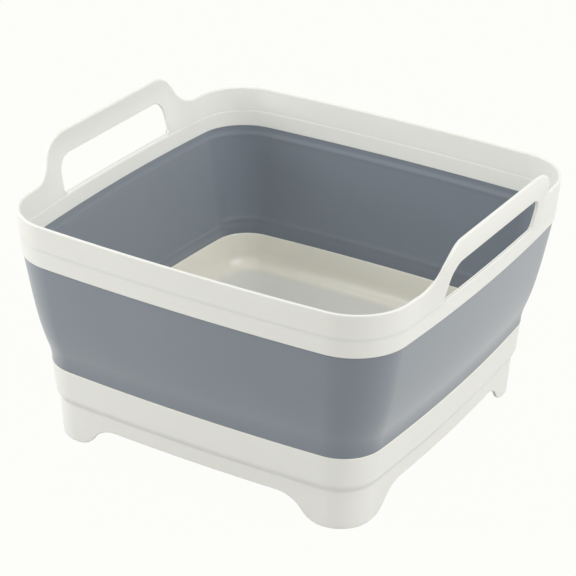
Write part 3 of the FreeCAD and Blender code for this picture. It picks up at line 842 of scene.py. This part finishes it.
def add_node(tree, kind, place, links=None, **settings):
    """Adds a node, sets its properties and inputs, and links its inputs from other nodes' outputs."""
    node = tree.nodes.new(kind)
    node.location = place
    for key, value in settings.items():
        if hasattr(node, key):
            setattr(node, key, value)
        else:
            node.inputs[key.replace("_", " ").title()].default_value = value
    for name, source in (links or {}).items():
        tree.links.new(source, node.inputs[name])
    return node


def colour_sockets(sockets):
    """A Mix node's sockets that carry colours."""
    return [socket for socket in sockets if socket.type == "RGBA"]


def plastic(name, main, shade, roughness, uneven, grain, depth, ior, glow, bloom=0.0, coat=0.0, level=None):
    """A moulded plastic: faint mottling over the colour, and a fine grain in the gloss and the surface.

    uneven is how far the gloss wanders, grain the grain's width and depth its bump, in metres; glow is the
    share of light that it scatters inside, bloom its sheen, and level a painted shade for its level faces.
    """
    if name in bpy.data.materials:
        return bpy.data.materials[name]
    material = bpy.data.materials.new(name)
    material.use_nodes = True
    material.diffuse_color = (*main, 1.0)
    material.roughness = roughness
    tree = material.node_tree
    tree.nodes.clear()
    where = add_node(tree, "ShaderNodeTexCoord", (-1000, 0)).outputs["Object"]
    flow = add_node(tree, "ShaderNodeTexNoise", (-800, 200), {"Vector": where}, scale=1.0 / FLOW_MARK,
                    detail=3.0)
    # A real grain is about a tenth of a millimetre wide, and is drawn coarser so that it shows
    fine = add_node(tree, "ShaderNodeTexNoise", (-800, -200), {"Vector": where}, scale=1.0 / grain,
                    detail=2.0)
    tint = add_node(tree, "ShaderNodeMix", (-500, 200), {"Factor": flow.outputs["Fac"]}, data_type="RGBA")
    for socket, tone in zip(colour_sockets(tint.inputs), (main, shade)):
        socket.default_value = (*tone, 1.0)
    shown = colour_sockets(tint.outputs)[0]
    # Painted shade: faces that point up take the level colour in place of their own
    if level:
        nearly_level = 0.85
        up = add_node(tree, "ShaderNodeNewGeometry", (-1000, 500)).outputs["Normal"]
        up = add_node(tree, "ShaderNodeSeparateXYZ", (-800, 500), {"Vector": up}).outputs["Z"]
        up = add_node(tree, "ShaderNodeMapRange", (-600, 500), {"Value": up}, from_min=nearly_level)
        floor = add_node(tree, "ShaderNodeMix", (-350, 400), {"Factor": up.outputs["Result"]},
                         data_type="RGBA")
        beside, on_level = colour_sockets(floor.inputs)
        tree.links.new(shown, beside)
        on_level.default_value = (*level, 1.0)
        shown = colour_sockets(floor.outputs)[0]
    gloss = add_node(tree, "ShaderNodeMapRange", (-500, -50), {"Value": fine.outputs["Fac"]},
                     to_min=roughness - uneven, to_max=roughness + uneven)
    relief = add_node(tree, "ShaderNodeBump", (-500, -350), {"Height": fine.outputs["Fac"]}, distance=depth,
                      strength=1.0)
    shader = add_node(tree, "ShaderNodeBsdfPrincipled", (-200, 100), {
        "Base Color": shown, "Roughness": gloss.outputs["Result"], "Normal": relief.outputs["Normal"]})
    constants = {"IOR": ior, "Subsurface Weight": glow, "Subsurface Radius": (1.0, 0.9, 0.65),
                 "Subsurface Scale": 1.0 * MM, "Sheen Weight": bloom, "Sheen Roughness": 0.5,
                 "Coat Weight": coat, "Coat Roughness": 0.28}
    for socket, value in constants.items():
        shader.inputs[socket].default_value = value
    add_node(tree, "ShaderNodeOutputMaterial", (100, 100), {"Surface": shader.outputs["BSDF"]})
    return material


def satin_white():
    """Moulded polypropylene: milky white with a soft satin sheen, from a lightly blasted mould."""
    finish = bpy.context.scene.bowl_finish
    return plastic("moulded polypropylene", finish.white, finish.white_shade, finish.white_roughness,
                   uneven=0.03, grain=0.9 * MM, depth=0.006 * MM, ior=1.49, glow=0.1)


def polished_white_painted_light():
    """The same polypropylene from the polished core of the mould: a clear, slightly soft reflection, over a
    painted warm glow, with painted shade on its level faces.
    """
    finish = bpy.context.scene.bowl_finish
    return plastic("moulded polypropylene polished", finish.inside, finish.painted_glow_flow_marks,
                   finish.floor_roughness, uneven=0.02, grain=2.5 * MM, depth=0.004 * MM, ior=1.49, glow=0.1,
                   coat=1.0, level=finish.floor)


def matt_grey():
    """Moulded thermoplastic rubber: dull blue grey that wipes light softly along its curves."""
    finish = bpy.context.scene.bowl_finish
    return plastic("moulded thermoplastic rubber", finish.grey, finish.grey_shade, finish.grey_roughness,
                   uneven=0.05, grain=0.8 * MM, depth=0.012 * MM, ior=1.5, glow=0.0, bloom=0.8)


class BOWL_OT_rim(bpy.types.Operator):
    """Build the rim with its two loop handles"""
    bl_idname = "bowl.rim"
    bl_label = "Rim and handles"

    def execute(self, context):
        piece = make_piece("rim_with_handles", [rim_plate(), rim_band()], [satin_white()], "rim")
        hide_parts("rim_frame")
        return {"FINISHED"}


class BOWL_OT_wall(bpy.types.Operator):
    """Build the soft wall between the base and the rim"""
    bl_idname = "bowl.wall"
    bl_label = "Folding wall"

    def execute(self, context):
        piece = make_piece("soft_folding_wall", [wall_skin()], [matt_grey()])
        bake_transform(piece)
        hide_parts("folding_wall")
        return {"FINISHED"}


class BOWL_OT_base(bpy.types.Operator):
    """Build the base tray with its feet, drain and strainer"""
    bl_idname = "bowl.base"
    bl_label = "Base tray"

    def execute(self, context):
        base = context.scene.bowl_base
        plastics = [satin_white(), polished_white_painted_light()]
        piece = make_piece("base_tray_with_feet", [base_skin(), strainer()], plastics, "base")
        # Polished, with a painted warm glow and painted shade: what faces up from the plug's seat on, and
        # the inner side up to the seam
        faces_up, margin = 0.02, 1.0 * MM
        for face in piece.data.polygons:
            x, y, z = face.center
            level = face.normal.z > faces_up and z > base.floor_top - base.seat_depth - margin
            side = base.floor_top < z < base.top and face.normal.dot(Vector((x, y, 0.0))) < 0.0
            face.material_index = 1 if level or side else 0
        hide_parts("base_tray")
        return {"FINISHED"}


class BOWL_OT_plug(bpy.types.Operator):
    """Build the drain plug"""
    bl_idname = "bowl.plug"
    bl_label = "Drain plug"

    def execute(self, context):
        piece = make_piece("soft_drain_plug", [plug_body(), pull_tab()], [matt_grey()], "plug")
        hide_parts("drain_plug")
        return {"FINISHED"}


def seen_rays(tree):
    """1 for rays that see a thing: from the camera, from a reflection or through something clear."""
    rays = add_node(tree, "ShaderNodeLightPath", (-800, 250)).outputs
    seen = rays["Is Camera Ray"]
    for place, ray in ((-600, "Is Glossy Ray"), (-400, "Is Transmission Ray")):
        either = add_node(tree, "ShaderNodeMath", (place, 250), {0: seen, 1: rays[ray]}, operation="MAXIMUM")
        seen = either.outputs[0]
    return seen


def paper_material(name, paper):
    """White seamless paper: a soft shadow stays on it, and the camera sees it as white."""
    material = bpy.data.materials.new(name)
    material.use_nodes = True
    tree = material.node_tree
    tree.nodes.clear()
    share = add_node(tree, "ShaderNodeMath", (0, 250), {0: seen_rays(tree)}, operation="MULTIPLY")
    share.inputs[1].default_value = PAPER_WHITE
    matt = add_node(tree, "ShaderNodeBsdfDiffuse", (-200, 0))
    matt.inputs["Color"].default_value = (*(PAPER_SHARE * part for part in paper), 1.0)
    white = add_node(tree, "ShaderNodeEmission", (-200, -200))
    white.inputs["Color"].default_value = (*paper, 1.0)
    white.inputs["Strength"].default_value = 1.0
    mixed = add_node(tree, "ShaderNodeMixShader", (200, 100),
                     {0: share.outputs[0], 1: matt.outputs[0], 2: white.outputs[0]})
    add_node(tree, "ShaderNodeOutputMaterial", (400, 100), {"Surface": mixed.outputs[0]})
    return material


def add_softbox(name, place, size, power):
    """A square area lamp that faces the bowl."""
    lamp = bpy.data.lights.new(name, "AREA")
    lamp.shape = "SQUARE"
    lamp.size = size
    lamp.energy = power
    holder = bpy.data.objects.new(name, lamp)
    holder.location = place
    holder.rotation_euler = (Vector(LAMP_AIM) - Vector(place)).to_track_quat("-Z", "Y").to_euler()
    bpy.context.scene.collection.objects.link(holder)


class BOWL_OT_stage(bpy.types.Operator):
    """Build the white paper, the soft light and the camera"""
    bl_idname = "bowl.stage"
    bl_label = "Studio"

    def execute(self, context):
        scene, studio = context.scene, context.scene.bowl_studio
        scene.view_settings.view_transform = "Standard"
        mesh = bpy.data.meshes.new("paper_floor")
        reach, level = 8.0, -0.1 * MM
        corners = [(x * reach, y * reach, level) for x, y in ((-1, -1), (1, -1), (1, 1), (-1, 1))]
        mesh.from_pydata(corners, [], [(0, 1, 2, 3)])
        floor = bpy.data.objects.new("paper_floor", mesh)
        mesh.materials.append(paper_material("seamless paper", studio.paper))
        scene.collection.objects.link(floor)
        world = bpy.data.worlds.new("studio")
        scene.world = world
        world.use_nodes = True
        tree = world.node_tree
        tree.nodes.clear()
        where = add_node(tree, "ShaderNodeTexCoord", (-800, -200)).outputs["Generated"]
        height = add_node(tree, "ShaderNodeSeparateXYZ", (-600, -200), {"Vector": where}).outputs["Z"]
        sky = add_node(tree, "ShaderNodeMapRange", (-400, -200), {"Value": height}, to_min=studio.sky,
                       to_max=studio.overhead)
        shown = add_node(tree, "ShaderNodeMapRange", (-200, 0),
                         {"Value": seen_rays(tree), "To Min": sky.outputs["Result"]}, to_max=1.0)
        light = add_node(tree, "ShaderNodeBackground", (0, 0), {"Strength": shown.outputs["Result"]})
        light.inputs["Color"].default_value = (*studio.paper, 1.0)
        add_node(tree, "ShaderNodeOutputWorld", (200, 0), {"Surface": light.outputs[0]})
        for name, place, size in SOFTBOXES:
            add_softbox(name + "_softbox", place, size, getattr(studio, name + "_lamp"))
        lens = bpy.data.cameras.new("photo_camera")
        lens.sensor_width = 36.0
        lens.lens = studio.lens
        lens.clip_end = 50.0
        azimuth, elevation, roll = studio.azimuth, studio.elevation, studio.roll
        outward = Vector((math.sin(azimuth), -math.cos(azimuth), 0.0))
        back = outward * math.cos(elevation) + Vector((0.0, 0.0, math.sin(elevation)))
        right = Vector((math.cos(azimuth), math.sin(azimuth), 0.0))
        up = back.cross(right)
        right, up = (right * math.cos(roll) + up * math.sin(roll),
                     up * math.cos(roll) - right * math.sin(roll))
        camera = bpy.data.objects.new("photo_camera", lens)
        stand = Matrix((right, up, back)).transposed().to_4x4()
        stand.translation = Vector(studio.target) + back * studio.distance
        camera.matrix_world = stand
        scene.collection.objects.link(camera)
        scene.camera = camera
        return {"FINISHED"}


class VIEW3D_PT_bowl(bpy.types.Panel):
    """Sizes, finishes and build buttons of the bowl"""
    bl_idname = "VIEW3D_PT_bowl"
    bl_label = "Washing-up bowl"
    bl_space_type = "VIEW_3D"
    bl_region_type = "UI"
    bl_category = "Bowl"

    def draw(self, context):
        for operator in OPERATORS:
            self.layout.operator(operator.bl_idname)
        for group in GROUPS:
            settings = getattr(context.scene, group)
            box = self.layout.box()
            box.label(text=settings.bl_rna.name)
            for key in settings.bl_rna.properties.keys():
                if key not in {"rna_type", "name"}:
                    box.prop(settings, key)


GROUPS = {"bowl_rim": BowlRim, "bowl_wall": BowlWall, "bowl_base": BowlBase, "bowl_finish": BowlFinish,
          "bowl_studio": BowlStudio}
OPERATORS = (BOWL_OT_base, BOWL_OT_wall, BOWL_OT_rim, BOWL_OT_plug, BOWL_OT_stage)


def register():
    for group, kind in GROUPS.items():
        bpy.utils.register_class(kind)
        setattr(bpy.types.Scene, group, PointerProperty(type=kind))
    for kind in (*OPERATORS, VIEW3D_PT_bowl):
        bpy.utils.register_class(kind)


def unregister():
    for kind in reversed((*OPERATORS, VIEW3D_PT_bowl)):
        bpy.utils.unregister_class(kind)
    for group, kind in reversed(GROUPS.items()):
        delattr(bpy.types.Scene, group)
        bpy.utils.unregister_class(kind)


def main():
    register()
    bpy.ops.bowl.base()
    bpy.ops.bowl.wall()
    bpy.ops.bowl.rim()
    bpy.ops.bowl.plug()
    bpy.ops.bowl.stage()
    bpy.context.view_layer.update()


if __name__ == "__main__":
    main()
